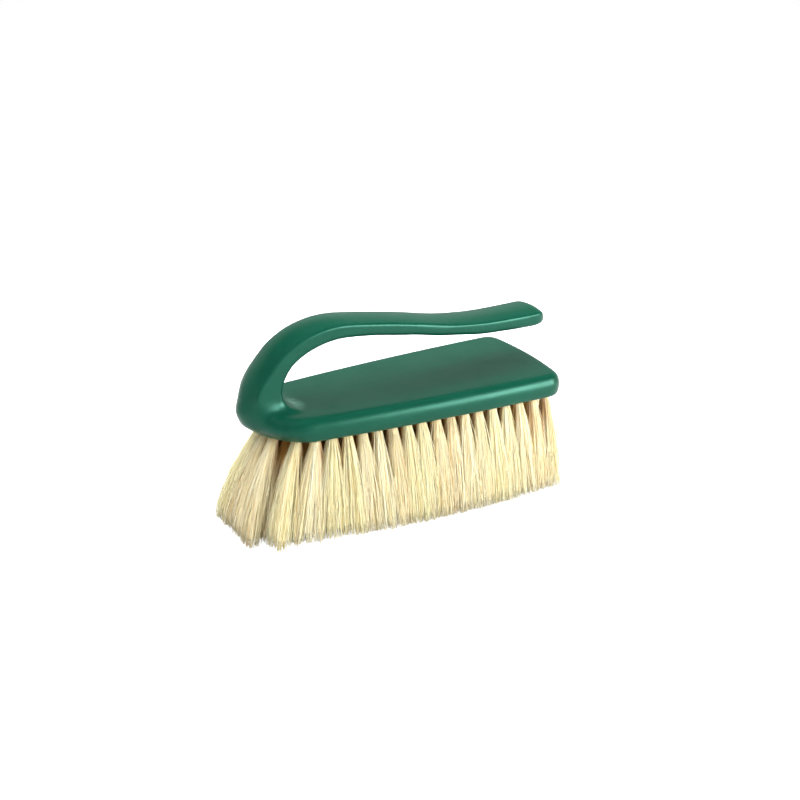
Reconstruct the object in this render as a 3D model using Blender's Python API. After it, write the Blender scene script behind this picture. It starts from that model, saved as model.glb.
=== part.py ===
"""Livestock grooming brush.

One moulded plastic block carries an iron-style handle that rises from its nose and runs back
over it to a free tip. Tufts of natural fibre stand out of its underside in rows and fan out to a
flat trim. The brush stands on its trimmed tips, with its length along X and its nose at -X.
"""

import math
from collections import namedtuple

import bmesh
import bpy
from mathutils import Vector

MM = 0.001

# Block, seen from above: a rounded nose, sides that widen slowly, and a bowed free end
BLOCK_LENGTH = 182.2 * MM
NOSE_LENGTH = 24.0 * MM
NOSE_HALF_WIDTH = 26.4 * MM
SIDE_FLARE = 11.8 * MM
END_BOW = 3.2 * MM
END_CORNER_RADIUS = 9.0 * MM
NOSE_POWER_UNDERSIDE = 1.65
NOSE_POWER_RIM = 2.45

# Block, seen from the side
BLOCK_THICKNESS = 13.5 * MM
RIM_BULGE = 1.8 * MM
RIM_BULGE_HEIGHT = 6.0 * MM
RIM_ROUNDING = 4.8 * MM

# Handle: each row is one cut across it. It gives where the cut's outer and inner edge lines lie, in
# x from the block's nose and in z above the block's top, then the half widths at those lines and
# the crown of the back. The first rows are level cuts of the foot, and the last starts the tip
Row = namedtuple("Row", "x z inner_x inner_z half_width inner_half_width crown")
HANDLE_ROWS = (
    Row(3.6 * MM, -0.93 * BLOCK_THICKNESS, 18.6 * MM, -0.93 * BLOCK_THICKNESS,
        10.0 * MM, 10.0 * MM, 4.8 * MM),
    Row(1.8 * MM, -0.76 * BLOCK_THICKNESS, 19.8 * MM, -0.76 * BLOCK_THICKNESS,
        12.3 * MM, 13.0 * MM, 6.2 * MM),
    Row(0.8 * MM, -0.56 * BLOCK_THICKNESS, 21.8 * MM, -0.56 * BLOCK_THICKNESS,
        13.4 * MM, 15.5 * MM, 8.3 * MM),
    Row(0.2 * MM, -0.33 * BLOCK_THICKNESS, 24.2 * MM, -0.33 * BLOCK_THICKNESS,
        13.9 * MM, 17.0 * MM, 9.3 * MM),
    Row(-0.5 * MM, -0.11 * BLOCK_THICKNESS, 25.6 * MM, -0.13 * BLOCK_THICKNESS,
        13.8 * MM, 17.2 * MM, 9.8 * MM),
    Row(-0.9 * MM, 0.5 * MM, 23.0 * MM, 0.2 * MM, 13.5 * MM, 16.2 * MM, 9.5 * MM),
    Row(-1.2 * MM, 2.3 * MM, 19.2 * MM, 1.5 * MM, 13.1 * MM, 14.6 * MM, 8.6 * MM),
    Row(-1.6 * MM, 4.7 * MM, 16.4 * MM, 3.3 * MM, 12.7 * MM, 13.2 * MM, 7.2 * MM),
    Row(-2.0 * MM, 8.1 * MM, 14.6 * MM, 5.7 * MM, 12.3 * MM, 12.4 * MM, 5.4 * MM),
    Row(-1.5 * MM, 12.8 * MM, 13.7 * MM, 9.1 * MM, 12.1 * MM, 12.1 * MM, 3.8 * MM),
    Row(2.0 * MM, 19.3 * MM, 13.8 * MM, 13.7 * MM, 12.0 * MM, 12.0 * MM, 2.8 * MM),
    Row(8.2 * MM, 26.8 * MM, 16.1 * MM, 19.7 * MM, 12.0 * MM, 12.0 * MM, 2.4 * MM),
    Row(15.8 * MM, 34.2 * MM, 21.3 * MM, 26.3 * MM, 12.0 * MM, 12.0 * MM, 2.0 * MM),
    Row(29.2 * MM, 41.2 * MM, 31.7 * MM, 32.8 * MM, 12.0 * MM, 12.0 * MM, 1.7 * MM),
    Row(48.0 * MM, 44.3 * MM, 48.3 * MM, 36.4 * MM, 12.0 * MM, 12.0 * MM, 1.5 * MM),
    Row(73.0 * MM, 41.2 * MM, 72.0 * MM, 34.4 * MM, 12.0 * MM, 12.0 * MM, 1.5 * MM),
    Row(98.0 * MM, 36.7 * MM, 96.9 * MM, 30.2 * MM, 12.0 * MM, 12.0 * MM, 1.5 * MM),
    Row(120.0 * MM, 32.1 * MM, 119.2 * MM, 26.0 * MM, 12.0 * MM, 12.0 * MM, 1.5 * MM),
    Row(142.0 * MM, 29.6 * MM, 141.6 * MM, 23.0 * MM, 12.2 * MM, 12.2 * MM, 1.5 * MM),
    Row(162.0 * MM, 29.1 * MM, 162.0 * MM, 21.9 * MM, 12.6 * MM, 12.6 * MM, 1.5 * MM),
    Row(177.0 * MM, 29.3 * MM, 177.2 * MM, 21.7 * MM, 12.8 * MM, 12.8 * MM, 1.4 * MM),
)
GRIP_CROWN_UNDER = 1.8 * MM
GRIP_START = 14.0 * MM
BACK_EDGE_RADIUS = 1.3 * MM
GRIP_EDGE_RADIUS = 2.4 * MM
FINGER_WAVE_HEIGHT = 0.7 * MM
FINGER_WAVE_PITCH = 27.5 * MM
FINGER_WAVE_START = 72.0 * MM
FINGER_WAVE_COUNT = 3

# Handle tip, rounded in plan and along its edges
TIP_LENGTH = 8.8 * MM
TIP_CORNER_RADIUS = 7.6 * MM
TIP_BACK_ROUNDING = 6.2 * MM
TIP_UNDER_ROUNDING = 1.4 * MM
TIP_ROUNDED_SHARE = 0.85
TIP_EDGE_SHARE = 0.4
TIP_SHARES = (0.2, 0.4, 0.58, 0.73, 0.85, 0.94, 1.0)

# Drilled field of the underside, which the tuft rows' backing strips fill
RIM_WALL = 3.0 * MM
FIELD_DEPTH = 6.0 * MM
FIT = 0.3 * MM

# Tufts
TRIM_LENGTH = 58.0 * MM
TUFT_ROWS = 19
TUFT_ACROSS_COUNT = 6
TUFT_RADIUS = 2.6 * MM
TUFT_EDGE_MARGIN = 0.4 * MM
TUFT_INSET = RIM_WALL + FIT + TUFT_RADIUS + TUFT_EDGE_MARGIN
NOSE_TUFT_MARGIN = 2.9 * MM
END_TUFT_MARGIN = 3.8 * MM
NOSE_TUFT_X = TUFT_INSET + NOSE_TUFT_MARGIN
LAST_TUFT_X = BLOCK_LENGTH - TUFT_INSET - END_TUFT_MARGIN
TUFT_PITCH = (LAST_TUFT_X - NOSE_TUFT_X) / (TUFT_ROWS - 1)
STRANDS_PER_SIDE = 2
STRAND_ROOT_WIDTH = 1.7 * MM
STRAND_TIP_SHARE = 0.62
STRAND_ROOT_DEPTH = 1.5 * MM
TIP_SCATTER = 1.5 * MM
TRIM_CUT = 0.5 * MM

# How far the tips stand outside their roots, as shares of the roots' distance from the middle
NOSE_SPLAY_START = 45.0 * MM
NOSE_SPLAY = 0.58
NOSE_FAN = 1.1
SIDE_SPLAY = 0.29
SIDE_SPLAY_FADE = 108.0 * MM
SIDE_SPLAY_LEFT = 0.04
END_SPLAY_START = 120.0 * MM
END_SPLAY = 0.08

# Mesh resolution
NOSE_POINTS = 13
SIDE_POINTS = 11
CORNER_POINTS = 6
BOW_POINTS = 5
RIM_STEPS = 7
ROW_STEPS = 4
CROWN_POINTS = 7
EDGE_POINTS = 2
SHARP_ANGLE = math.radians(35.0)

GREEN = (0.024, 0.145, 0.092, 1.0)
FIBRE = (0.72, 0.58, 0.34, 1.0)


def smooth_step(value):
    """Ease from 0 to 1 with level ends."""
    value = min(max(value, 0.0), 1.0)
    return value * value * (3.0 - 2.0 * value)


def material(name, colour, roughness):
    """A plain Principled material."""
    made = bpy.data.materials.new(name)
    made.use_nodes = True
    shader = made.node_tree.nodes["Principled BSDF"]
    shader.inputs["Base Color"].default_value = colour
    shader.inputs["Roughness"].default_value = roughness
    shader.inputs["Metallic"].default_value = 0.0
    return made


def mesh_object(name, shape, collection):
    """Turn a bmesh into an object with outward faces, and free the bmesh."""
    bmesh.ops.recalc_face_normals(shape, faces=shape.faces)
    mesh = bpy.data.meshes.new(name)
    shape.to_mesh(mesh)
    shape.free()
    made = bpy.data.objects.new(name, mesh)
    collection.objects.link(made)
    return made


def skin(rings):
    """Loft a closed solid through rings that have the same number of points."""
    shape = bmesh.new()
    loops = [[shape.verts.new(point) for point in ring] for ring in rings]
    for low, high in zip(loops, loops[1:]):
        for here in range(len(low)):
            after = (here + 1) % len(low)
            shape.faces.new((low[here], low[after], high[after], high[here]))
    shape.faces.new(reversed(loops[0]))
    shape.faces.new(loops[-1])
    return shape


def combine(target, tool, operation, cutters):
    """Apply one exact Boolean to the target and keep its tool as a hidden cutter."""
    modifier = target.modifiers.new(tool.name, "BOOLEAN")
    modifier.operation = operation
    modifier.solver = "EXACT"
    modifier.object = tool
    tool.hide_render = True
    tool.display_type = "WIRE"
    if tool.name not in cutters.objects:
        cutters.objects.link(tool)


def underside_z():
    """Height of the block's underside over the plane the tips stand on."""
    return TRIM_LENGTH


def top_z():
    """Height of the block's flat top over the plane the tips stand on."""
    return underside_z() + BLOCK_THICKNESS


def side_half_width(x, outset, power):
    """Half width of the block at x from the nose, before its end corners."""
    along = min(max((x + outset) / NOSE_LENGTH, 0.0), 1.0)
    nose = (NOSE_HALF_WIDTH + outset) * (1.0 - (1.0 - along) ** power) ** (1.0 / power)
    reach = min(max((x + outset) / BLOCK_LENGTH, 0.0), 1.0)
    return nose + SIDE_FLARE * (1.0 - (1.0 - reach) ** 2)


def half_outline(outset, power):
    """Points of the block's outline on its +Y side, from the nose to the middle of the free end."""
    points = []
    for step in range(NOSE_POINTS):
        angle = math.radians(90.0) * step / NOSE_POINTS
        x = NOSE_LENGTH * (1.0 - math.cos(angle) ** (2.0 / power)) - outset
        points.append((x, side_half_width(x, outset, power)))
    radius = END_CORNER_RADIUS + outset
    half_end = side_half_width(BLOCK_LENGTH - radius, outset, power)
    turn = math.atan(2.0 * END_BOW / half_end)
    bow_start = half_end - radius * (1.0 - math.sin(turn))
    corner_x = BLOCK_LENGTH + outset - END_BOW * (bow_start / half_end) ** 2 - radius * math.cos(turn)
    side_start = NOSE_LENGTH - outset
    for step in range(SIDE_POINTS):
        x = side_start + (corner_x - side_start) * step / SIDE_POINTS
        points.append((x, side_half_width(x, outset, power)))
    corner_half = side_half_width(corner_x, outset, power)
    for step in range(CORNER_POINTS):
        angle = math.radians(90.0) - (math.radians(90.0) - turn) * step / CORNER_POINTS
        points.append((corner_x + radius * math.cos(angle), corner_half - radius * (1.0 - math.sin(angle))))
    bow_start = corner_half - radius * (1.0 - math.sin(turn))
    bow_x = corner_x + radius * math.cos(turn)
    sagitta = END_BOW * (bow_start / half_end) ** 2
    for step in range(BOW_POINTS + 1):
        y = bow_start * (1.0 - step / BOW_POINTS)
        points.append((bow_x + sagitta * (1.0 - (y / bow_start) ** 2), y))
    return points


def outline(outset, power):
    """The block's closed outline, from the nose round by +Y and back by -Y."""
    half = half_outline(outset, power)
    return half + [(x, -y) for x, y in reversed(half[1:-1])]


def rim_levels():
    """Height, outset and nose power of each ring of the block, from its underside to its top."""
    levels = []
    for step in range(RIM_STEPS):
        angle = math.radians(90.0) * step / RIM_STEPS
        levels.append((RIM_BULGE_HEIGHT * (1.0 - math.cos(angle)), RIM_BULGE * math.sin(angle)))
    crown = BLOCK_THICKNESS - RIM_BULGE_HEIGHT
    for step in range(RIM_STEPS + 1):
        angle = math.radians(90.0) * step / RIM_STEPS
        inset = RIM_ROUNDING * (1.0 - math.cos(angle))
        levels.append((RIM_BULGE_HEIGHT + crown * math.sin(angle), RIM_BULGE - inset))
    rise = NOSE_POWER_RIM - NOSE_POWER_UNDERSIDE
    return [(z, outset, NOSE_POWER_UNDERSIDE + rise * smooth_step(z / RIM_BULGE_HEIGHT / 1.4))
            for z, outset in levels]


def block(parts):
    """The block: outlines stacked over its rounded rim, flat below and on top."""
    base = underside_z()
    rings = [[(x, y, base + z) for x, y in outline(outset, power)] for z, outset, power in rim_levels()]
    return mesh_object("block_handle", skin(rings), parts)


def blend(values, place):
    """Smooth curve through equally spaced values, read at a place from 0 to their last index."""
    index = min(int(place), len(values) - 2)
    part = place - index
    before = values[max(index - 1, 0)]
    start, end = values[index], values[index + 1]
    after = values[min(index + 2, len(values) - 1)]
    slope_in = (end - before) * 0.5
    slope_out = (after - start) * 0.5
    square, cube = part * part, part * part * part
    return (start * (2 * cube - 3 * square + 1) + slope_in * (cube - 2 * square + part)
            + end * (3 * square - 2 * cube) + slope_out * (cube - square))


def handle_row(place):
    """The handle's row at any place between the driving rows."""
    columns = zip(*HANDLE_ROWS)
    return Row(*(blend(column, place) for column in columns))


def corner_arc(centre_y, centre_h, radius, start, end):
    """Inner points of a rounded corner of a section."""
    points = []
    for step in range(EDGE_POINTS + 2):
        angle = math.radians(start + (end - start) * step / (EDGE_POINTS + 1))
        points.append((centre_y + radius * math.cos(angle), centre_h + radius * math.sin(angle)))
    return points


def section(row, thickness, crown_under, back_radius, under_radius):
    """A handle section as (y, height over the inner edge line), its back crowned and up."""
    flat_back = row.half_width - back_radius
    flat_under = row.inner_half_width - under_radius
    back_edge = thickness + row.crown * (1.0 - (flat_back / row.half_width) ** 2)
    under_edge = -crown_under * (1.0 - (flat_under / row.inner_half_width) ** 2)
    right = corner_arc(flat_under, under_edge + under_radius, under_radius, -90.0, 0.0)
    right += corner_arc(flat_back, back_edge - back_radius, back_radius, 0.0, 90.0)
    back = []
    for step in range(1, CROWN_POINTS):
        y = flat_back * (1.0 - 2.0 * step / CROWN_POINTS)
        back.append((y, thickness + row.crown * (1.0 - (y / row.half_width) ** 2)))
    under = []
    for step in range(1, CROWN_POINTS):
        y = flat_under * (2.0 * step / CROWN_POINTS - 1.0)
        under.append((y, -crown_under * (1.0 - (y / row.inner_half_width) ** 2)))
    left = [(-y, height) for y, height in reversed(right)]
    return right + back + left + under


def finger_wave(x):
    """Depth of the finger swells under the grip at x."""
    along = (x - FINGER_WAVE_START) / (FINGER_WAVE_PITCH * FINGER_WAVE_COUNT)
    if along <= 0.0 or along >= 1.0:
        return 0.0
    return FINGER_WAVE_HEIGHT * 0.5 * (1.0 - math.cos(2.0 * math.pi * along * FINGER_WAVE_COUNT))


def through(row):
    """Vector from a row's outer edge line to its inner one."""
    return Vector((row.inner_x - row.x, 0.0, row.inner_z - row.z))


def place_section(start, inward, points):
    """Put a section's points in space, its inner edge line at the start."""
    return [start - inward * height + Vector((0.0, y, 0.0)) for y, height in points]


def handle_ring(place):
    """The handle's ring at a place along its rows."""
    row = handle_row(place)
    grip = smooth_step((row.x - GRIP_START) / GRIP_START)
    crown_under = GRIP_CROWN_UNDER * grip + finger_wave(row.x)
    start = Vector((row.inner_x, 0.0, top_z() + row.inner_z))
    points = section(row, through(row).length, crown_under, BACK_EDGE_RADIUS, GRIP_EDGE_RADIUS)
    return place_section(start, through(row).normalized(), points)


def quarter_loss(radius, rest):
    """How far a quarter round has drawn in where its end is still the rest away."""
    into = max(radius - rest, 0.0)
    return radius - math.sqrt(radius ** 2 - into ** 2)


def tip_rings():
    """Rings that round the handle's tip in plan and along its edges."""
    row = HANDLE_ROWS[-1]
    inward = through(row).normalized()
    along = Vector((-inward.z, 0.0, inward.x))
    start = Vector((row.inner_x, 0.0, top_z() + row.inner_z))
    rings = []
    for share in TIP_SHARES:
        rest = TIP_LENGTH * (1.0 - share)
        narrow = quarter_loss(TIP_CORNER_RADIUS, rest) * TIP_ROUNDED_SHARE
        lower = quarter_loss(TIP_BACK_ROUNDING, rest) * TIP_ROUNDED_SHARE
        higher = quarter_loss(TIP_UNDER_ROUNDING, rest) * TIP_ROUNDED_SHARE
        smaller = row._replace(half_width=row.half_width - narrow,
                               inner_half_width=row.inner_half_width - narrow)
        thickness = through(row).length - lower - higher
        edge = thickness * TIP_EDGE_SHARE
        points = section(smaller, thickness, GRIP_CROWN_UNDER * (1.0 - share),
                         min(BACK_EDGE_RADIUS, edge), min(GRIP_EDGE_RADIUS, edge))
        rings.append(place_section(start + along * (TIP_LENGTH - rest) - inward * higher, inward, points))
    return rings


def handle(cutters):
    """The handle, from inside the block's nose to its free tip."""
    last = len(HANDLE_ROWS) - 1
    rings = [handle_ring(step / ROW_STEPS) for step in range(last * ROW_STEPS + 1)]
    return mesh_object("handle_body", skin(rings + tip_rings()), cutters)


def field_prism(name, inset, low, high, parts):
    """An upright prism of the drilled field's outline."""
    points = outline(-inset, NOSE_POWER_UNDERSIDE)
    rings = [[(x, y, z) for x, y in points] for z in (low, high)]
    return mesh_object(name, skin(rings), parts)


def moulding(parts, cutters, plastic):
    """Block and handle as one moulding, with the drilled field let into its underside."""
    made = block(parts)
    combine(made, handle(cutters), "UNION", cutters)
    base = underside_z()
    pocket = field_prism("field_pocket", RIM_WALL, base - FIELD_DEPTH, base + FIELD_DEPTH, cutters)
    combine(made, pocket, "DIFFERENCE", cutters)
    made.data.materials.append(plastic)
    return made


def strip_outline(low, high):
    """The part of the drilled field between two x values, less the fit at each side."""
    points = outline(-(RIM_WALL + FIT), NOSE_POWER_UNDERSIDE)
    for limit, keep in ((low + FIT / 2, 1.0), (high - FIT / 2, -1.0)):
        kept = []
        for here, after in zip(points, points[1:] + points[:1]):
            if keep * (here[0] - limit) >= 0.0:
                kept.append(here)
            if (here[0] - limit) * (after[0] - limit) < 0.0:
                share = (limit - here[0]) / (after[0] - here[0])
                kept.append((limit, here[1] + share * (after[1] - here[1])))
        points = kept
    return points


def tuft_places(x):
    """y of each tuft in the row at x."""
    outer = side_half_width(x, -TUFT_INSET, NOSE_POWER_UNDERSIDE)
    gaps = min(round(2.0 * outer / TUFT_PITCH), TUFT_ACROSS_COUNT - 1)
    return [outer * (2.0 * tuft / gaps - 1.0) for tuft in range(gaps + 1)]


def splayed(x, y):
    """Where the tip of a strand stands whose root is at x, y."""
    nose = max(NOSE_SPLAY_START - x, 0.0)
    end = max(x - END_SPLAY_START, 0.0)
    fade = smooth_step((x - SIDE_SPLAY_FADE) / (BLOCK_LENGTH - SIDE_SPLAY_FADE))
    side = SIDE_SPLAY + (SIDE_SPLAY_LEFT - SIDE_SPLAY) * fade
    side += NOSE_FAN * max(1.0 - x / NOSE_LENGTH, 0.0)
    return x - NOSE_SPLAY * nose + END_SPLAY * end, y * (1.0 + side)


def strand(shape, root, tip, root_size, tip_size, tip_z):
    """One four-sided strand with level ends."""
    base = underside_z() + STRAND_ROOT_DEPTH
    rings = []
    for place, size, z in ((root, root_size, base), (tip, tip_size, tip_z)):
        corners = ((-1, -1), (1, -1), (1, 1), (-1, 1))
        rings.append([shape.verts.new((place[0] + size[0] * cx / 2, place[1] + size[1] * cy / 2, z))
                      for cx, cy in corners])
    low, high = rings
    for here in range(4):
        after = (here + 1) % 4
        shape.faces.new((low[here], low[after], high[after], high[here]))
    shape.faces.new(reversed(low))
    shape.faces.new(high)


def tip_height(row, column, line):
    """Height of one strand's tip: lengths scatter evenly, and the longest are trimmed level."""
    golden = (math.sqrt(5.0) - 1.0) / 2.0
    number = (row * STRANDS_PER_SIDE + column) * TUFT_ACROSS_COUNT * STRANDS_PER_SIDE + line
    return max((number * golden) % 1.0 * TIP_SCATTER - TRIM_CUT, 0.0)


def strands(row, x, cutters):
    """All the strands of one row, fanned so that no two meet."""
    shape = bmesh.new()
    places = tuft_places(x)
    cell = (TUFT_PITCH / STRANDS_PER_SIDE, (places[1] - places[0]) / STRANDS_PER_SIDE)
    root_step = math.sqrt(2.0) * TUFT_RADIUS / STRANDS_PER_SIDE
    lines = len(places) * STRANDS_PER_SIDE
    for line in range(lines):
        y = places[line // STRANDS_PER_SIDE]
        over = line % STRANDS_PER_SIDE - (STRANDS_PER_SIDE - 1) / 2
        for column in range(STRANDS_PER_SIDE):
            across = column - (STRANDS_PER_SIDE - 1) / 2
            root = (x + across * root_step, y + over * root_step)
            centre = (x + across * cell[0], y + over * cell[1])
            tip = splayed(*centre)
            side = splayed(centre[0] + cell[0] / 2, centre[1] + cell[1] / 2)
            size = [2.0 * abs(edge - middle) * STRAND_TIP_SHARE for edge, middle in zip(side, tip)]
            height = tip_height(row, column, min(line, lines - 1 - line))
            strand(shape, root, tip, (STRAND_ROOT_WIDTH, STRAND_ROOT_WIDTH), size, height)
    return mesh_object(f"strands_{row:02d}", shape, cutters)


def tuft_row(row, x, low, high, parts, cutters, fibre):
    """One row of tufts, fused to its strip of the drilled field."""
    base = underside_z()
    points = strip_outline(low, high)
    rings = [[(px, py, z) for px, py in points] for z in (base, base + FIELD_DEPTH - FIT)]
    made = mesh_object(f"tuft_row_{row:02d}", skin(rings), parts)
    combine(made, strands(row, x, cutters), "UNION", cutters)
    made.data.materials.append(fibre)
    return made


def tuft_rows(parts, cutters, fibre):
    """Every row of tufts, side by side under the block."""
    places = [NOSE_TUFT_X + TUFT_PITCH * row for row in range(TUFT_ROWS)]
    edges = [-RIM_WALL] + [(here + after) / 2 for here, after in zip(places, places[1:])]
    edges.append(BLOCK_LENGTH + RIM_WALL)
    return [tuft_row(row + 1, x, edges[row], edges[row + 1], parts, cutters, fibre)
            for row, x in enumerate(places)]


def collection(name):
    """A new collection in the scene."""
    made = bpy.data.collections.new(name)
    bpy.context.scene.collection.children.link(made)
    return made


def stand_on_centre(pieces, cutters):
    """Parent every piece to one empty and move it so that the footprint's centre is the origin."""
    bpy.context.view_layer.update()
    depsgraph = bpy.context.evaluated_depsgraph_get()
    places = [corner[0] for piece in pieces for corner in piece.evaluated_get(depsgraph).bound_box]
    origin = bpy.data.objects.new("brush", None)
    bpy.context.scene.collection.objects.link(origin)
    for piece in list(pieces) + list(cutters.objects):
        piece.parent = origin
    origin.location.x = -(min(places) + max(places)) / 2
    bpy.context.view_layer.update()


def build():
    """Model the brush."""
    for leftover in list(bpy.data.objects):
        bpy.data.objects.remove(leftover, do_unlink=True)
    parts = collection("livestock_grooming_brush")
    cutters = collection("cutters")
    plastic = material("green_plastic", GREEN, 0.32)
    fibre = material("natural_fibre", FIBRE, 0.7)
    pieces = [moulding(parts, cutters, plastic)] + tuft_rows(parts, cutters, fibre)
    for piece in pieces + list(cutters.objects):
        piece.data.shade_smooth()
        piece.data.set_sharp_from_angle(angle=SHARP_ANGLE)
    stand_on_centre(pieces, cutters)


build()
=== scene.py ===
import math

import bpy
import numpy as np
from mathutils import Matrix, Vector


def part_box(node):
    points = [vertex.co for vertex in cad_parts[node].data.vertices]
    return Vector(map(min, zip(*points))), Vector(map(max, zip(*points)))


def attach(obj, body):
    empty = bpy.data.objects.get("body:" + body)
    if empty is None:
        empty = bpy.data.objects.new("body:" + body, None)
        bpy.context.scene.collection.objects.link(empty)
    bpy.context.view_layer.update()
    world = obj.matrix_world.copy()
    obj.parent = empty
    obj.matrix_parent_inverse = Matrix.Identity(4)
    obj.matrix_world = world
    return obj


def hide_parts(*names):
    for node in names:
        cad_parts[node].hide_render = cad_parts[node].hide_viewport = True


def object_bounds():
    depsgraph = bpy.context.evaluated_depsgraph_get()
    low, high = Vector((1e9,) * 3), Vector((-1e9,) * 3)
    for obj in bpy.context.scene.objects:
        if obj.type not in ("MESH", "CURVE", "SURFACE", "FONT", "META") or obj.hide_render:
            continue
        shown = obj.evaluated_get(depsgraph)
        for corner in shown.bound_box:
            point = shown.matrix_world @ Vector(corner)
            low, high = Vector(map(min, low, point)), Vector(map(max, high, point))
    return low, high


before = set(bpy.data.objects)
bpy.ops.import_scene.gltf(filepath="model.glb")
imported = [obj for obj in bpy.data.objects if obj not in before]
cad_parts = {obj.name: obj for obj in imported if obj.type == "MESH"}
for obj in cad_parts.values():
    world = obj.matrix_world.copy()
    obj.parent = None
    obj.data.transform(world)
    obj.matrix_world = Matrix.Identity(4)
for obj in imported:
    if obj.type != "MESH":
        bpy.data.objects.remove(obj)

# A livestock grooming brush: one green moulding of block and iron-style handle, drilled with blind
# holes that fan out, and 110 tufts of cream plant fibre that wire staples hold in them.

MM = 0.001

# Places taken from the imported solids
cad_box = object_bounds()
UNDERSIDE_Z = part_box("block_handle")[0].z
ROWS = [name for name in sorted(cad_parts) if name.startswith("tuft_row_")]

# The block's sizes, as its solid has them
BLOCK_LENGTH = 182.2 * MM
BLOCK_THICKNESS = 13.5 * MM
NOSE_LENGTH = 24.0 * MM
NOSE_HALF_WIDTH = 26.4 * MM
NOSE_POWER = 1.65
SIDE_FLARE = 11.8 * MM
RIM_WALL = 3.0 * MM
FIELD_INSET = RIM_WALL * 0.7
FIELD_DEPTH = 6.0 * MM
FIELD_SLACK = 0.1 * MM

# Finish of the moulding: its mesh, and the flow of the handle's foot into the block
GRAIN_OF_MESH = 0.75 * MM
WELD = 0.001 * MM
SMOOTHING = 0.5
MESH_ROUNDS = 5
SHARP_EDGE = math.radians(40)
FLOW_LENGTH = 30.0 * MM
FLOW_ROUNDS = 30
NOSE_FLOW_LENGTH = 8.0 * MM
NOSE_FLOW_ROUNDS = 90
FLOW_HEIGHT = 9.0 * MM
FLOW_START = 0.8
FLOW_FADE = 0.4
FLOW_LEAST = 0.01

# Tuft holes and their drill
TUFT_INSET = 6.3 * MM
FIRST_TUFT_X = 9.2 * MM
TUFT_PITCH = 9.05 * MM
TUFTS_ACROSS = 6
HOLE_RADIUS = 2.6 * MM
HOLE_DEPTH = 9.5 * MM
HOLE_POINT = 1.4 * MM
HOLE_STRAIGHT = HOLE_DEPTH - HOLE_POINT
HOLE_POINT_SHARE = 0.08
COUNTERSINK = 0.5 * MM
HOLE_SIDES = 20
LEVEL_FACE = 0.9

# Fan of the tufts, as shares of the roots' distance from the middle
UPRIGHT_ROW = 7
FAN_INSET = 0.8 * MM
NOSE_SPLAY_START = 45.0 * MM
NOSE_SPLAY = 0.58
NOSE_FAN = 1.1
SIDE_SPLAY = 0.29
SIDE_SPLAY_FADE = 108.0 * MM
SIDE_SPLAY_LEFT = 0.04
END_SPLAY_START = 120.0 * MM
END_SPLAY = 0.08

# Fibres of a tuft. The second ring stands in the hole's mouth
FIBRES = 400
FIBRE_WIDTH = 0.30 * MM
FIBRE_WIDTHS = (0.75, 1.25)
FIBRE_TIP_SHARE = 0.8
FIBRE_SIDES = 3
FIBRE_RINGS = (0.0, 0.14, 0.34, 0.55, 0.76, 0.89, 1.0)
MOUTH_RING = FIBRE_RINGS[1]
HOLE_FILL = 0.9
ROOT_JITTER = 0.03
GOLDEN_TURN = 3.0 - math.sqrt(5.0)

# How the fibres spread, bow, stray and end
SPREAD = 1.25
BOW = 1.3
WAVE = 0.75 * MM
STRAY = 1.4 * MM
STRAY_LIMIT = 5.0 * MM
STRAY_TAIL = 3
EDGE_SCATTER = 3.0 * MM
TIP_SCATTER = 2.8 * MM
TRIM_WITH_CLUMP = 0.5
LEVEL_TRIM = 0.15

# Clumps that the fibres of a tuft gather in
CLUMPS = 48
CLUMP_DISC = 0.9
CLUMP_JITTER = 0.08
CLUMP_STRAY = 1.8 * MM
CLUMP_PULL = 0.6
LEAST_PULL = 0.2

# What each fibre's shade follows, kept as attributes of its points, with the share of painted shade at
# its root
FIBRE_ATTRIBUTES = ("fibre_shade", "clump_shade", "fibre_along", "fibre_root_shade")
TUFT_PART = 0.65
CLUMP_PART = 0.35
ROOT_SHADE_FROM = 0.35
ROOT_SHADE_MOST = 0.7
LEAST_LEAN = 0.01

# Staples
STAPLE_WIRE = 0.28 * MM
STAPLE_HALF_SPAN = 1.5 * MM
STAPLE_LEG = 3.2 * MM
STAPLE_SIDES = 6
STAPLE_BENDS = 6

# Green plastic
PLASTIC_SHADES = ((0.3, (0.0022, 0.048, 0.027)), (0.7, (0.0027, 0.055, 0.031)))
STREAK_SHADES = ((0.35, (0.90, 0.93, 0.93)), (0.65, (1.10, 1.05, 1.05)))
PLASTIC_ROUGHNESS = 0.34
PLASTIC_ROUGHNESS_RANGE = (0.29, 0.36)
PLASTIC_TINT = (0.36, 1.0, 0.77, 1.0)
CLOUD_SCALE = 28.0
STREAK_SCALE = 420.0
STREAK_STRETCH = (0.08, 1.0, 1.0)
RUBBED_SCALE = 65.0
RUBBED_RANGE = (0.3, 0.7)
SKIN_SCALE = 1400.0
SKIN_STRENGTH = 0.12
SKIN_DEPTH = 0.03 * MM

# Scuffs and a painted highlight where the handle's fillet runs out on the block
SCUFF_AND_HIGHLIGHT_PLACE = Vector((-60.0 * MM, -3.5 * MM, 72.0 * MM))
SCUFF_AND_HIGHLIGHT_SIZE = Vector((5.0 * MM, 10.0 * MM, 6.0 * MM))
SCUFF_AND_HIGHLIGHT_TURN = math.radians(25.0)
SCUFF_AND_HIGHLIGHT_COLOUR = (0.085, 0.21, 0.155)
SCUFF_AND_HIGHLIGHT_FADE = (0.3, 1.0)
SCRATCH_SCALE = 900.0
SCRATCH_STRETCH = (0.15, 1.0, 1.0)
SCRATCH_RANGE = (0.42, 0.6)
SCRATCH_LEAST = 0.25
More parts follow.
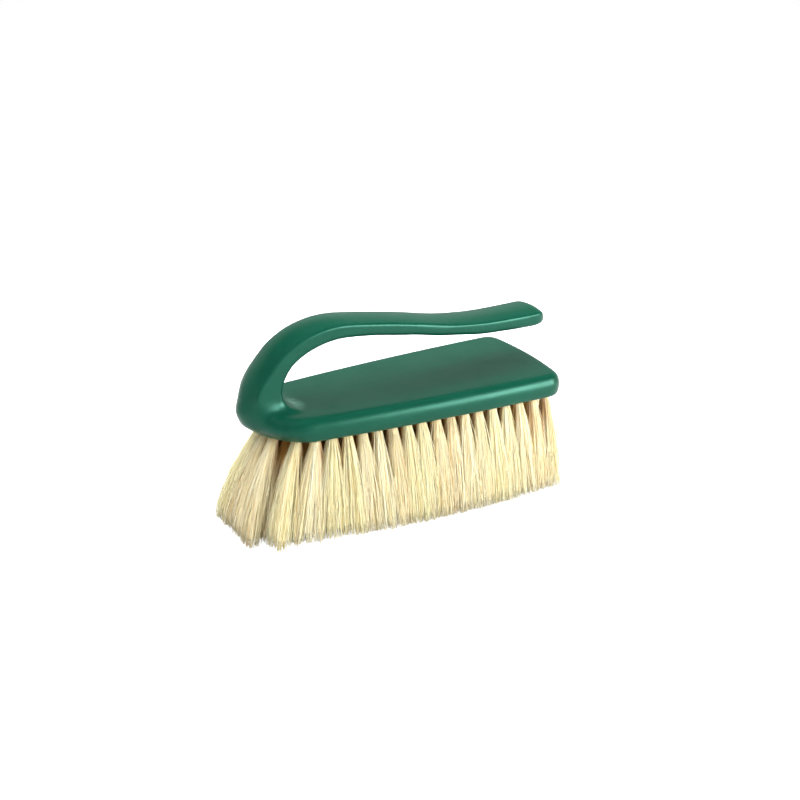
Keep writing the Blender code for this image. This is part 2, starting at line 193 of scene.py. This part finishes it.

# Cream plant fibre: shades of single fibres and of clumps, and painted shade from root to tip, slight
# outside and brown inside among the roots
WHITE = (1.0, 1.0, 1.0)
FIBRE_SHADES = ((0.0, (0.76, 0.55, 0.26)), (0.15, (0.92, 0.82, 0.50)), (0.45, (0.98, 0.93, 0.66)),
                (1.0, (0.99, 0.97, 0.79)))
CLUMP_SHADES = ((0.2, (1.0, 0.95, 0.88)), (0.5, WHITE), (0.8, (1.0, 1.0, 0.90)))
OUTER_ROOT_SHADE = ((0.0, (0.80, 0.64, 0.43)), (0.06, (1.0, 0.98, 0.94)), (0.3, WHITE))
INNER_ROOT_SHADE = ((0.0, (0.38, 0.15, 0.03)), (0.2, (0.60, 0.34, 0.12)), (0.5, WHITE))
FIBRE_ROUGHNESS = 0.55
FIBRE_GLOSS = 0.35

# Galvanised wire
WIRE_SHADES = ((0.3, (0.42, 0.42, 0.43)), (0.7, (0.62, 0.62, 0.63)))
WIRE_SCALE = 500.0
WIRE_ROUGHNESS = 0.35

# Camera of the photograph
CAMERA_AZIMUTH = math.radians(29.0)
CAMERA_ELEVATION = math.radians(22.8)
CAMERA_DISTANCE = 0.92
CAMERA_TARGET = Vector((9.77 * MM, 2.35 * MM, 57.1 * MM))
CAMERA_LENS = 70.92

# Floor and room. The plastic's gloss sees a pale horizon in a dim room
FLOOR_COLOUR = (0.55, 0.55, 0.55)
FLOOR_LIFT = 0.90
FLOOR_ROUGHNESS = 0.9
FLOOR_RADIUS = 6.0
FLOOR_SIDES = 64
ROOM = (0.10, 0.10, 0.10)
DARK_ROOM = (0.04, 0.04, 0.04)
HORIZON = (0.53, 0.53, 0.53)
GLOSSY_ROOM = ((0.40, HORIZON), (0.48, DARK_ROOM), (0.66, DARK_ROOM), (1.0, ROOM))
DIFFUSE_BOUNCES = 10

# Soft lamps: name, direction from the brush, distance, width, height, power, whether gloss shows it
LAMPS = (
    ("softbox_key", (0.58, -0.77, 0.205), 0.95, 0.64, 0.40, 12.8, True),
    ("softbox_over", (-0.45, -0.05, 1.0), 1.0, 0.9, 0.9, 14.5, False),
    ("softbox_behind", (0.5, 0.62, 0.8), 0.95, 1.0, 0.9, 23.0, False),
    ("softbox_fill", (-0.78, -0.6, 0.22), 1.0, 0.8, 0.5, 0.9, False),
)

random = np.random.default_rng(7)


def row_x(name):
    """Middle of a tuft row along the brush."""
    low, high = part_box(name)
    return (low.x + high.x) / 2


# The eighth row stands upright, so its middle gives the block's nose
NOSE_X = row_x(ROWS[UPRIGHT_ROW]) - FIRST_TUFT_X - UPRIGHT_ROW * TUFT_PITCH


def smooth_step(value):
    """Ease from 0 to 1 with level ends."""
    value = np.clip(value, 0.0, 1.0)
    return value * value * (3.0 - 2.0 * value)


def side_half_width(x, inset):
    """Half width of the block at x from its nose, drawn in by the inset."""
    along = np.clip((x - inset) / NOSE_LENGTH, 0.0, 1.0)
    nose = (NOSE_HALF_WIDTH - inset) * (1.0 - (1.0 - along) ** NOSE_POWER) ** (1.0 / NOSE_POWER)
    reach = np.clip((x - inset) / BLOCK_LENGTH, 0.0, 1.0)
    return nose + SIDE_FLARE * (1.0 - (1.0 - reach) ** 2)


def splayed(x, y):
    """Where the tips stand whose roots are at x, y, measured from the block's nose."""
    nose = np.maximum(NOSE_SPLAY_START - x, 0.0)
    end = np.maximum(x - END_SPLAY_START, 0.0)
    fade = smooth_step((x - SIDE_SPLAY_FADE) / (BLOCK_LENGTH - SIDE_SPLAY_FADE))
    side = SIDE_SPLAY + (SIDE_SPLAY_LEFT - SIDE_SPLAY) * fade
    side = side + NOSE_FAN * np.maximum(1.0 - x / NOSE_LENGTH, 0.0)
    return x - NOSE_SPLAY * nose + END_SPLAY * end, y * (1.0 + side)


def tuft_places(row):
    """Root of each tuft in a row, from the block's nose."""
    x = FIRST_TUFT_X + TUFT_PITCH * row
    outer = float(side_half_width(x, TUFT_INSET))
    gaps = min(round(2.0 * outer / TUFT_PITCH), TUFTS_ACROSS - 1)
    return [(x, outer * (2.0 * tuft / gaps - 1.0)) for tuft in range(gaps + 1)]


def lean(x, y):
    """Sideways run of a tuft for each unit of its drop, where it leaves its hole."""
    tip_x, tip_y = splayed(x, y)
    return BOW * (tip_x - x) / UNDERSIDE_Z, BOW * (tip_y - y) / UNDERSIDE_Z


def only(piece):
    """Select one piece alone and make it active."""
    bpy.ops.object.select_all(action="DESELECT")
    piece.select_set(True)
    bpy.context.view_layer.objects.active = piece


def apply_modifier(piece, kind, **values):
    """Give a piece a modifier and apply it."""
    only(piece)
    bpy.ops.object.modifier_add(type=kind)
    modifier = piece.modifiers[-1]
    for name, value in values.items():
        setattr(modifier, name, value)
    bpy.ops.object.modifier_apply(modifier=modifier.name)


def select_faces(piece, wanted):
    """Enter edit mode with the faces selected whose middle and normal the test wants."""
    only(piece)
    bpy.ops.object.mode_set(mode="EDIT")
    bpy.ops.mesh.select_mode(type="FACE")
    bpy.ops.mesh.select_all(action="DESELECT")
    bpy.ops.object.mode_set(mode="OBJECT")
    for face in piece.data.polygons:
        face.select = wanted(face.center, face.normal)
    bpy.ops.object.mode_set(mode="EDIT")


def leave_edit():
    """Back to object mode."""
    bpy.ops.object.mode_set(mode="OBJECT")


def settle(piece):
    """Put a piece's place into its mesh, so that its object stands at the origin."""
    only(piece)
    bpy.ops.object.transform_apply(location=True, rotation=True, scale=True)


def in_field(centre, normal):
    """Whether a face belongs to the shallow field that takes the tuft rows' strips in the solid."""
    x = centre.x - NOSE_X
    inside = abs(centre.y) < side_half_width(x, FIELD_INSET) and x < BLOCK_LENGTH - FIELD_INSET
    above = centre.z - UNDERSIDE_Z
    return bool(inside and FIELD_SLACK < above < FIELD_DEPTH + FIELD_SLACK)


def drill():
    """One drill bit, its mouth at the origin and its point up, with a countersink below."""
    bpy.ops.object.select_all(action="DESELECT")
    length = HOLE_STRAIGHT + COUNTERSINK
    bpy.ops.mesh.primitive_cylinder_add(vertices=HOLE_SIDES, radius=HOLE_RADIUS, depth=length,
                                        location=(0, 0, length / 2 - COUNTERSINK))
    bit = bpy.context.object
    settle(bit)
    select_faces(bit, lambda centre, normal: normal.z > LEVEL_FACE)
    bpy.ops.mesh.extrude_region_move(TRANSFORM_OT_translate={"value": (0, 0, HOLE_POINT)})
    bpy.ops.transform.resize(value=(HOLE_POINT_SHARE, HOLE_POINT_SHARE, 1))
    bpy.ops.mesh.select_all(action="SELECT")
    bpy.ops.mesh.bisect(plane_co=(0, 0, COUNTERSINK), plane_no=(0, 0, 1))
    leave_edit()
    select_faces(bit, lambda centre, normal: normal.z < -LEVEL_FACE)
    flare = (HOLE_RADIUS + 2 * COUNTERSINK) / HOLE_RADIUS
    bpy.ops.transform.resize(value=(flare, flare, 1))
    leave_edit()
    return bit


def one_in_each_hole(pattern, name, height):
    """Copies of a pattern in one piece, one in each hole, along its lean and at a height in it."""
    copies = []
    for row in range(len(ROWS)):
        for x, y in tuft_places(row):
            across, side = lean(x, y)
            turn = Vector((0, 0, 1)).rotation_difference(Vector((-across, -side, 1)))
            mouth = Matrix.Translation((NOSE_X + x, y, UNDERSIDE_Z)) @ turn.to_matrix().to_4x4()
            copy = bpy.data.objects.new(name, pattern.data.copy())
            copy.matrix_world = mouth @ Matrix.Translation((0, 0, height))
            bpy.context.scene.collection.objects.link(copy)
            copies.append(copy)
    bpy.data.objects.remove(pattern)
    bpy.ops.object.select_all(action="DESELECT")
    for copy in copies:
        copy.select_set(True)
    bpy.context.view_layer.objects.active = copies[0]
    bpy.ops.object.join()
    copies[0].name = name
    settle(copies[0])
    return copies[0]


def flow(piece, name, length, rounds):
    """Smooth the corner where the handle grows out of the block, from the nose over a length."""
    group = piece.vertex_groups.new(name=name)
    top = UNDERSIDE_Z + BLOCK_THICKNESS
    half = FLOW_HEIGHT / 2
    for vertex in piece.data.vertices:
        along = 1.0 - smooth_step((vertex.co.x - NOSE_X - length * FLOW_START) / (length * FLOW_FADE))
        height = 1.0 - smooth_step((abs(vertex.co.z - top) - half) / half)
        if along * height > FLOW_LEAST:
            group.add([vertex.index], float(along * height), "REPLACE")
    apply_modifier(piece, "SMOOTH", factor=SMOOTHING, iterations=rounds, vertex_group=name)


def filled_block():
    """Block and handle as the solid has them, with the field under the tufts closed."""
    piece = bpy.data.objects.new("moulding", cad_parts["block_handle"].data.copy())
    bpy.context.scene.collection.objects.link(piece)
    only(piece)
    bpy.ops.mesh.customdata_custom_splitnormals_clear()
    bpy.ops.object.mode_set(mode="EDIT")
    bpy.ops.mesh.select_all(action="SELECT")
    bpy.ops.mesh.remove_doubles(threshold=WELD)
    leave_edit()
    select_faces(piece, in_field)
    bpy.ops.mesh.delete(type="FACE")
    bpy.ops.mesh.select_mode(type="EDGE")
    bpy.ops.mesh.select_non_manifold()
    bpy.ops.mesh.edge_face_add()
    leave_edit()
    return piece


def moulding():
    """Block and handle in one: its inside corners flowed and its holes drilled."""
    piece = filled_block()
    apply_modifier(piece, "REMESH", mode="VOXEL", voxel_size=GRAIN_OF_MESH)
    apply_modifier(piece, "SMOOTH", factor=SMOOTHING, iterations=MESH_ROUNDS)
    flow(piece, "flow", FLOW_LENGTH, FLOW_ROUNDS)
    flow(piece, "nose", NOSE_FLOW_LENGTH, NOSE_FLOW_ROUNDS)
    drills = one_in_each_hole(drill(), "drill", 0.0)
    apply_modifier(piece, "BOOLEAN", operation="DIFFERENCE", solver="EXACT", object=drills)
    bpy.data.objects.remove(drills)
    only(piece)
    bpy.ops.object.shade_smooth_by_angle(angle=SHARP_EDGE)
    piece.data.materials.clear()
    piece.data.materials.append(green_plastic())
    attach(piece, "root")
    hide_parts("block_handle")


def fibre_pattern():
    """One straight fibre of unit width and length, as points and faces, modelled once."""
    bpy.ops.object.select_all(action="DESELECT")
    bpy.ops.mesh.primitive_cylinder_add(vertices=FIBRE_SIDES, radius=0.5, depth=1, location=(0, 0, 0.5))
    fibre = bpy.context.object
    settle(fibre)
    bpy.ops.object.mode_set(mode="EDIT")
    for ring in FIBRE_RINGS[1:-1]:
        bpy.ops.mesh.select_all(action="SELECT")
        bpy.ops.mesh.bisect(plane_co=(0, 0, ring), plane_no=(0, 0, 1))
    leave_edit()
    points = np.array([vertex.co for vertex in fibre.data.vertices])
    faces = [list(face.vertices) for face in fibre.data.polygons]
    bpy.data.objects.remove(fibre)
    return points, faces


def even_disc(count):
    """Points spread evenly over a disc of radius 1."""
    number = np.arange(count) + 0.5
    radius = np.sqrt(number / count)
    angle = number * math.pi * GOLDEN_TURN
    return np.stack((radius * np.cos(angle), radius * np.sin(angle)), axis=1)


def to_square(points):
    """Stretch a disc's points over the square round it."""
    longest = np.abs(points).max(axis=1, keepdims=True)
    return points * np.linalg.norm(points, axis=1, keepdims=True) / longest


def hold_inside(x, y, cell_x):
    """Keep the fan's aims under the block, half a pitch beyond the outer roots."""
    last = FIRST_TUFT_X + TUFT_PITCH * (len(ROWS) - 1)
    x = np.clip(x, FIRST_TUFT_X - cell_x, last + cell_x)
    edge = side_half_width(x, FAN_INSET)
    return x, np.clip(y, -edge, edge)


def hold_in_box(tips, margin):
    """Keep tips, measured from the block's nose, inside the solids' box by a margin."""
    low, high = cad_box
    low = np.array((low[0] - NOSE_X, low[1])) + margin
    high = np.array((high[0] - NOSE_X, high[1])) - margin
    return np.clip(tips, low, high)


def fanned_tips(x, y, cell_y, places):
    """Tips of one tuft's fibres as they fan out and stray, and how far they keep from the box."""
    cell_x = TUFT_PITCH / 2
    spread = to_square(places) * SPREAD
    aim = hold_inside(x + spread[:, 0] * cell_x, y + spread[:, 1] * cell_y, cell_x)
    stray = random.standard_t(STRAY_TAIL, (len(places), 2)) * STRAY
    tips = np.stack(splayed(*aim), axis=1) + np.clip(stray, -STRAY_LIMIT, STRAY_LIMIT)
    margin = FIBRE_WIDTH + EDGE_SCATTER * random.random((len(places), 1)) ** 2
    return hold_in_box(tips, margin), margin


def gather(places, tips, margin):
    """Tips drawn together in clumps of neighbouring fibres, and the clump of each fibre."""
    seeds = even_disc(CLUMPS) * CLUMP_DISC + random.normal(0, CLUMP_JITTER, (CLUMPS, 2))
    nearest = ((places[:, None] - seeds[None]) ** 2).sum(axis=2).argmin(axis=1)
    middles = np.array([tips[nearest == clump].mean(axis=0) if (nearest == clump).any() else (0, 0)
                        for clump in range(CLUMPS)])
    middles += random.normal(0, CLUMP_STRAY, middles.shape)
    pull = CLUMP_PULL * random.uniform(LEAST_PULL, 1.0, CLUMPS)[nearest, None]
    return hold_in_box(tips + (middles[nearest] - tips) * pull, margin), nearest


def trimmed(nearest):
    """Height of each tip over the level cut, partly shared with its clump."""
    clump_trim = random.random(CLUMPS) ** 2
    own_trim = random.random(len(nearest)) ** 2
    trim = TIP_SCATTER * (TRIM_WITH_CLUMP * clump_trim[nearest] + (1.0 - TRIM_WITH_CLUMP) * own_trim)
    return np.maximum(trim - LEVEL_TRIM * TIP_SCATTER, 0.0)


def tuft_paths(x, y, cell_y, places, steps):
    """Centre lines of one tuft's fibres, how far along each point lies, and each fibre's clump."""
    tips, margin = fanned_tips(x, y, cell_y, places)
    gathered, nearest = gather(places, tips, margin)
    trim = trimmed(nearest)
    mouth = np.array((x, y)) + places * HOLE_RADIUS * HOLE_FILL
    along = np.clip((steps - MOUTH_RING) / (1.0 - MOUTH_RING), 0.0, 1.0)[None, :]
    inside = np.clip((MOUTH_RING - steps) / MOUTH_RING, 0.0, 1.0)[None, :]
    eased = 1.0 - (1.0 - along) ** BOW
    wave = random.normal(0, WAVE, (len(places), 2))
    second = random.normal(0, WAVE, (len(places), 2))
    paths = np.zeros((len(places), len(steps), 3))
    for axis, slope in enumerate(lean(x, y)):
        run = mouth[:, axis, None] + (tips[:, axis, None] - mouth[:, axis, None]) * eased
        run += (gathered[:, axis, None] - tips[:, axis, None]) * along ** 3
        run += wave[:, axis, None] * np.sin(math.pi * along)
        run += second[:, axis, None] * np.sin(2 * math.pi * along) * along
        paths[:, :, axis] = run - slope * inside * HOLE_STRAIGHT
    drop = UNDERSIDE_Z + (trim[:, None] - UNDERSIDE_Z) * along
    paths[:, :, 2] = drop + inside * HOLE_STRAIGHT
    return paths, along, nearest


def root_shade_share(x, y, places, depth):
    """How much painted shade darkens each fibre's root: on the tuft's side away from its lean, and on
    every fibre of the interior tufts.
    """
    outward = np.array(lean(x, y))
    facing = places @ (outward / max(np.linalg.norm(outward), LEAST_LEAN))
    return np.maximum(np.clip(ROOT_SHADE_FROM - facing, 0.0, ROOT_SHADE_MOST), depth)


def tuft(x, y, cell_y, depth, pattern):
    """Points and shade values of one tuft."""
    points = pattern[0]
    places = even_disc(FIBRES)
    places = np.clip(places + random.normal(0, ROOT_JITTER, places.shape), -1, 1)
    paths, along, nearest = tuft_paths(x, y, cell_y, places, points[:, 2])
    turn = random.random(FIBRES) * 2 * math.pi
    width = FIBRE_WIDTH * random.uniform(*FIBRE_WIDTHS, FIBRES)[:, None]
    width = width * (1.0 - (1.0 - FIBRE_TIP_SHARE) * along ** 2)
    cosine = np.cos(turn)[:, None]
    sine = np.sin(turn)[:, None]
    paths[:, :, 0] += width * (points[None, :, 0] * cosine - points[None, :, 1] * sine)
    paths[:, :, 1] += width * (points[None, :, 0] * sine + points[None, :, 1] * cosine)
    shade = random.random(FIBRES)
    clump = TUFT_PART * random.random() + CLUMP_PART * random.random(CLUMPS)[nearest]
    # Painted shade at the root, deepest on the tuft's side away from its lean and in the interior tufts
    root_shade = root_shade_share(x, y, places, depth)
    length = np.repeat(along, FIBRES, axis=0)
    values = (shade, clump, root_shade)
    shade, clump, root_shade = (np.repeat(value[:, None], len(points), axis=1) for value in values)
    return paths, shade, clump, length, root_shade


def fibre_mesh(name, tufts, pattern):
    """Mesh of a row's separate fibres inside the solids' box, with their shades as attributes."""
    corners, corner_faces = pattern
    points = np.concatenate([made[0].reshape(-1, 3) for made in tufts])
    points[:, 0] += NOSE_X
    low, high = cad_box
    points = np.clip(points, np.array(low), np.array(high))
    faces = []
    for start in range(0, len(points), len(corners)):
        faces += [[start + corner for corner in face] for face in corner_faces]
    mesh = bpy.data.meshes.new(name)
    mesh.from_pydata(points.tolist(), [], faces)
    for index, attribute in enumerate(FIBRE_ATTRIBUTES, start=1):
        values = np.concatenate([made[index].ravel() for made in tufts]).astype(np.float32)
        mesh.attributes.new(attribute, "FLOAT", "POINT").data.foreach_set("value", values)
    round_sides = [len(face) == 4 for face in corner_faces] * (len(points) // len(corners))
    mesh.polygons.foreach_set("use_smooth", round_sides)
    return mesh


def tuft_row(row, pattern, material):
    """One row of tufts."""
    places = tuft_places(row)
    cell_y = (places[1][1] - places[0][1]) / 2
    end = min(row, len(ROWS) - 1 - row)
    # The interior tufts take the full painted root shade
    tuft_root_shades = [min(end, number, len(places) - 1 - number, 1) for number in range(len(places))]
    tufts = [tuft(x, y, cell_y, depth, pattern) for (x, y), depth in zip(places, tuft_root_shades)]
    name = ROWS[row].replace("tuft_row", "fibres")
    mesh = fibre_mesh(name, tufts, pattern)
    mesh.materials.append(material)
    piece = bpy.data.objects.new(name, mesh)
    bpy.context.scene.collection.objects.link(piece)
    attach(piece, "root")
    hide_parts(ROWS[row])


def staple():
    """One wire staple, its crown at the origin and its legs up."""
    bpy.ops.object.select_all(action="DESELECT")
    bpy.ops.mesh.primitive_circle_add(vertices=STAPLE_SIDES, radius=STAPLE_WIRE, fill_type="NGON",
                                      location=(STAPLE_HALF_SPAN, 0, STAPLE_LEG + STAPLE_HALF_SPAN))
    wire = bpy.context.object
    settle(wire)
    bpy.ops.object.mode_set(mode="EDIT")
    bpy.ops.mesh.select_all(action="SELECT")
    bpy.ops.mesh.extrude_region_move(TRANSFORM_OT_translate={"value": (0, 0, -STAPLE_LEG)})
    bpy.ops.mesh.spin(steps=STAPLE_BENDS, angle=math.pi, center=(0, 0, STAPLE_HALF_SPAN), axis=(0, 1, 0))
    bpy.ops.mesh.extrude_region_move(TRANSFORM_OT_translate={"value": (0, 0, STAPLE_LEG)})
    bpy.ops.mesh.select_all(action="SELECT")
    bpy.ops.mesh.remove_doubles(threshold=WELD)
    bpy.ops.mesh.normals_make_consistent(inside=False)
    leave_edit()
    return wire


def staples():
    """A staple at the bottom of each hole."""
    piece = one_in_each_hole(staple(), "staples", HOLE_STRAIGHT - STAPLE_LEG)
    piece.data.shade_smooth()
    piece.data.materials.append(staple_steel())
    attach(piece, "root")


def new_material(name, roughness):
    """An empty Principled material and its shader."""
    made = bpy.data.materials.new(name)
    made.use_nodes = True
    shader = made.node_tree.nodes["Principled BSDF"]
    shader.inputs["Roughness"].default_value = roughness
    return made, made.node_tree, shader


def node(tree, kind, **values):
    """A node, with its settings and the plain values of its inputs."""
    made = tree.nodes.new(kind)
    for name, value in values.items():
        if name in made.inputs:
            made.inputs[name].default_value = value
        else:
            setattr(made, name, value)
    return made


def give(tree, socket, given):
    """Link a socket to another, or set it to a number or a colour."""
    if isinstance(given, bpy.types.NodeSocket):
        tree.links.new(given, socket)
    elif isinstance(given, tuple):
        socket.default_value = (*given, 1.0)
    else:
        socket.default_value = given


def maths(tree, operation, first, second):
    """A sum on two numbers or sockets."""
    made = node(tree, "ShaderNodeMath", operation=operation)
    give(tree, made.inputs[0], first)
    give(tree, made.inputs[1], second)
    return made.outputs[0]


def mix(tree, kind, factor, first, second):
    """Mix two colours. The Mix node's colours are its sockets 6 and 7, and its output 2."""
    made = node(tree, "ShaderNodeMix", data_type="RGBA", blend_type=kind)
    give(tree, made.inputs["Factor"], factor)
    give(tree, made.inputs[6], first)
    give(tree, made.inputs[7], second)
    return made.outputs[2]


def mapped(tree, coordinates, **values):
    """Coordinates moved, turned or stretched."""
    made = node(tree, "ShaderNodeMapping", **values)
    tree.links.new(coordinates, made.inputs["Vector"])
    return made.outputs["Vector"]


def noise(tree, coordinates, scale, detail=2.0, roughness=0.5):
    """A noise texture on the given coordinates."""
    made = node(tree, "ShaderNodeTexNoise", Scale=scale, Detail=detail, Roughness=roughness)
    tree.links.new(coordinates, made.inputs["Vector"])
    return made.outputs["Fac"]


def mesh_value(tree, name):
    """A value kept in the mesh."""
    return node(tree, "ShaderNodeAttribute", attribute_name=name).outputs["Fac"]


def remap(tree, value, old, new):
    """Map one range of a value to another."""
    made = node(tree, "ShaderNodeMapRange")
    for name, number in zip(("From Min", "From Max", "To Min", "To Max"), (*old, *new)):
        made.inputs[name].default_value = number
    tree.links.new(value, made.inputs["Value"])
    return made.outputs["Result"]


def colours(tree, value, stops):
    """Colour ramp over a value."""
    made = tree.nodes.new("ShaderNodeValToRGB")
    ramp = made.color_ramp
    while len(ramp.elements) < len(stops):
        ramp.elements.new(0.5)
    for element, (place, colour) in zip(ramp.elements, stops):
        element.position = place
        element.color = (*colour, 1.0)
    tree.links.new(value, made.inputs["Fac"])
    return made.outputs["Color"]


def scuffs_and_highlight(tree, place):
    """Fine pale scuffs with a painted highlight where the handle's fillet runs out on the block, as a
    mask.
    """
    size = (1 / SCUFF_AND_HIGHLIGHT_SIZE.x, 1 / SCUFF_AND_HIGHLIGHT_SIZE.y, 1 / SCUFF_AND_HIGHLIGHT_SIZE.z)
    shift = tuple(-middle * share for middle, share in zip(SCUFF_AND_HIGHLIGHT_PLACE, size))
    distance = node(tree, "ShaderNodeVectorMath", operation="LENGTH")
    tree.links.new(mapped(tree, place, Location=shift, Scale=size), distance.inputs[0])
    near = remap(tree, distance.outputs["Value"], SCUFF_AND_HIGHLIGHT_FADE, (1.0, 0.0))
    lines = mapped(tree, place, Rotation=(0.0, 0.0, SCUFF_AND_HIGHLIGHT_TURN), Scale=SCRATCH_STRETCH)
    scratched = remap(tree, noise(tree, lines, SCRATCH_SCALE), SCRATCH_RANGE, (SCRATCH_LEAST, 1.0))
    return maths(tree, "MULTIPLY", near, scratched)


def green_plastic():
    """Satin moulded plastic: a little cloudy and streaked, rubbed in patches, with a fine skin, and pale
    scuffs with a painted highlight at the handle's heel.
    """
    made, tree, shader = new_material("green_plastic", PLASTIC_ROUGHNESS)
    place = tree.nodes.new("ShaderNodeTexCoord").outputs["Object"]
    colour = colours(tree, noise(tree, place, CLOUD_SCALE, detail=3.0), PLASTIC_SHADES)
    stretched = mapped(tree, place, Scale=STREAK_STRETCH)
    streaks = noise(tree, stretched, STREAK_SCALE, detail=3.0, roughness=0.6)
    colour = mix(tree, "MULTIPLY", 1.0, colour, colours(tree, streaks, STREAK_SHADES))
    # Paler green at the heel: scuffs, and a painted highlight on the fillet
    colour = mix(tree, "MIX", scuffs_and_highlight(tree, place), colour, SCUFF_AND_HIGHLIGHT_COLOUR)
    tree.links.new(colour, shader.inputs["Base Color"])
    rubbed = noise(tree, place, RUBBED_SCALE, detail=4.0, roughness=0.6)
    roughness = remap(tree, rubbed, RUBBED_RANGE, PLASTIC_ROUGHNESS_RANGE)
    tree.links.new(roughness, shader.inputs["Roughness"])
    bump = node(tree, "ShaderNodeBump", Strength=SKIN_STRENGTH, Distance=SKIN_DEPTH)
    tree.links.new(noise(tree, place, SKIN_SCALE), bump.inputs["Height"])
    tree.links.new(bump.outputs["Normal"], shader.inputs["Normal"])
    shader.inputs["Specular Tint"].default_value = PLASTIC_TINT
    return made


def plant_fibre():
    """Cream plant fibre: each fibre its own straw shade, with brown painted shade where it hides among
    the roots.
    """
    made, tree, shader = new_material("plant_fibre", FIBRE_ROUGHNESS)
    shade, clump, along, depth = (mesh_value(tree, name) for name in FIBRE_ATTRIBUTES)
    own = colours(tree, shade, FIBRE_SHADES)
    colour = mix(tree, "MULTIPLY", 1.0, own, colours(tree, clump, CLUMP_SHADES))
    # Painted shade at the roots: slight on the outside, brown where a fibre hides among its neighbours
    outer = colours(tree, along, OUTER_ROOT_SHADE)
    shaded_root = colours(tree, along, INNER_ROOT_SHADE)
    colour = mix(tree, "MULTIPLY", 1.0, colour, mix(tree, "MIX", depth, outer, shaded_root))
    tree.links.new(colour, shader.inputs["Base Color"])
    shader.inputs["Specular IOR Level"].default_value = FIBRE_GLOSS
    return made


def staple_steel():
    """Galvanised wire."""
    made, tree, shader = new_material("staple_steel", WIRE_ROUGHNESS)
    place = tree.nodes.new("ShaderNodeTexCoord").outputs["Object"]
    colour = colours(tree, noise(tree, place, WIRE_SCALE), WIRE_SHADES)
    tree.links.new(colour, shader.inputs["Base Color"])
    shader.inputs["Metallic"].default_value = 1.0
    return made


def seen_by_camera(tree, path):
    """Whether the camera sees a thing, straight or through glass."""
    return maths(tree, "MAXIMUM", path.outputs["Is Camera Ray"], path.outputs["Is Transmission Ray"])


def floor_material():
    """Floor that the camera sees as white, and that keeps the brush's shadow."""
    made, tree, shader = new_material("floor_white", FLOOR_ROUGHNESS)
    shader.inputs["Base Color"].default_value = (*FLOOR_COLOUR, 1.0)
    shader.inputs["Specular IOR Level"].default_value = 0.0
    shader.inputs["Emission Color"].default_value = (*WHITE, 1.0)
    path = tree.nodes.new("ShaderNodeLightPath")
    lift = maths(tree, "MULTIPLY", seen_by_camera(tree, path), FLOOR_LIFT)
    tree.links.new(lift, shader.inputs["Emission Strength"])
    return made


def floor():
    """Wide round floor under the tips."""
    bpy.ops.object.select_all(action="DESELECT")
    bpy.ops.mesh.primitive_circle_add(vertices=FLOOR_SIDES, radius=FLOOR_RADIUS, fill_type="NGON",
                                      location=(0, 0, 0))
    made = bpy.context.object
    made.name = "floor"
    made.data.materials.append(floor_material())


def studio_world():
    """White behind the brush, a dim room, and a pale horizon in the brush's reflections."""
    world = bpy.data.worlds.new("studio")
    bpy.context.scene.world = world
    world.use_nodes = True
    tree = world.node_tree
    direction = tree.nodes.new("ShaderNodeTexCoord").outputs["Generated"]
    parts = tree.nodes.new("ShaderNodeSeparateXYZ")
    tree.links.new(direction, parts.inputs[0])
    mirrored = colours(tree, parts.outputs["Z"], GLOSSY_ROOM)
    path = tree.nodes.new("ShaderNodeLightPath")
    room = mix(tree, "MIX", path.outputs["Is Glossy Ray"], ROOM, mirrored)
    shown = mix(tree, "MIX", seen_by_camera(tree, path), room, WHITE)
    tree.links.new(shown, tree.nodes["Background"].inputs["Color"])

def softbox(name, direction, distance, width, height, power, in_gloss):
    """A soft light that faces the brush."""
    data = bpy.data.lights.new(name, "AREA")
    data.shape = "RECTANGLE"
    data.size = width
    data.size_y = height
    data.energy = power
    made = bpy.data.objects.new(name, data)
    made.visible_glossy = in_gloss
    bpy.context.scene.collection.objects.link(made)
    toward = Vector(direction).normalized()
    made.location = CAMERA_TARGET + toward * distance
    made.rotation_mode = "QUATERNION"
    made.rotation_quaternion = toward.to_track_quat("Z", "Y")


def camera():
    """The photograph's camera."""
    data = bpy.data.cameras.new("camera")
    data.lens = CAMERA_LENS
    made = bpy.data.objects.new("camera", data)
    bpy.context.scene.collection.objects.link(made)
    flat = math.cos(CAMERA_ELEVATION)
    back = Vector((-math.sin(CAMERA_AZIMUTH) * flat, -math.cos(CAMERA_AZIMUTH) * flat,
                   math.sin(CAMERA_ELEVATION)))
    made.location = CAMERA_TARGET + back * CAMERA_DISTANCE
    made.rotation_mode = "QUATERNION"
    made.rotation_quaternion = back.to_track_quat("Z", "Y")
    bpy.context.scene.camera = made


def main():
    """Dress the brush and set its stage."""
    bpy.context.scene.view_settings.view_transform = "Standard"
    bpy.context.scene.cycles.diffuse_bounces = DIFFUSE_BOUNCES
    camera()
    moulding()
    staples()
    pattern = fibre_pattern()
    fibre = plant_fibre()
    for row in range(len(ROWS)):
        tuft_row(row, pattern, fibre)
    floor()
    studio_world()
    for lamp in LAMPS:
        softbox(*lamp)


main()
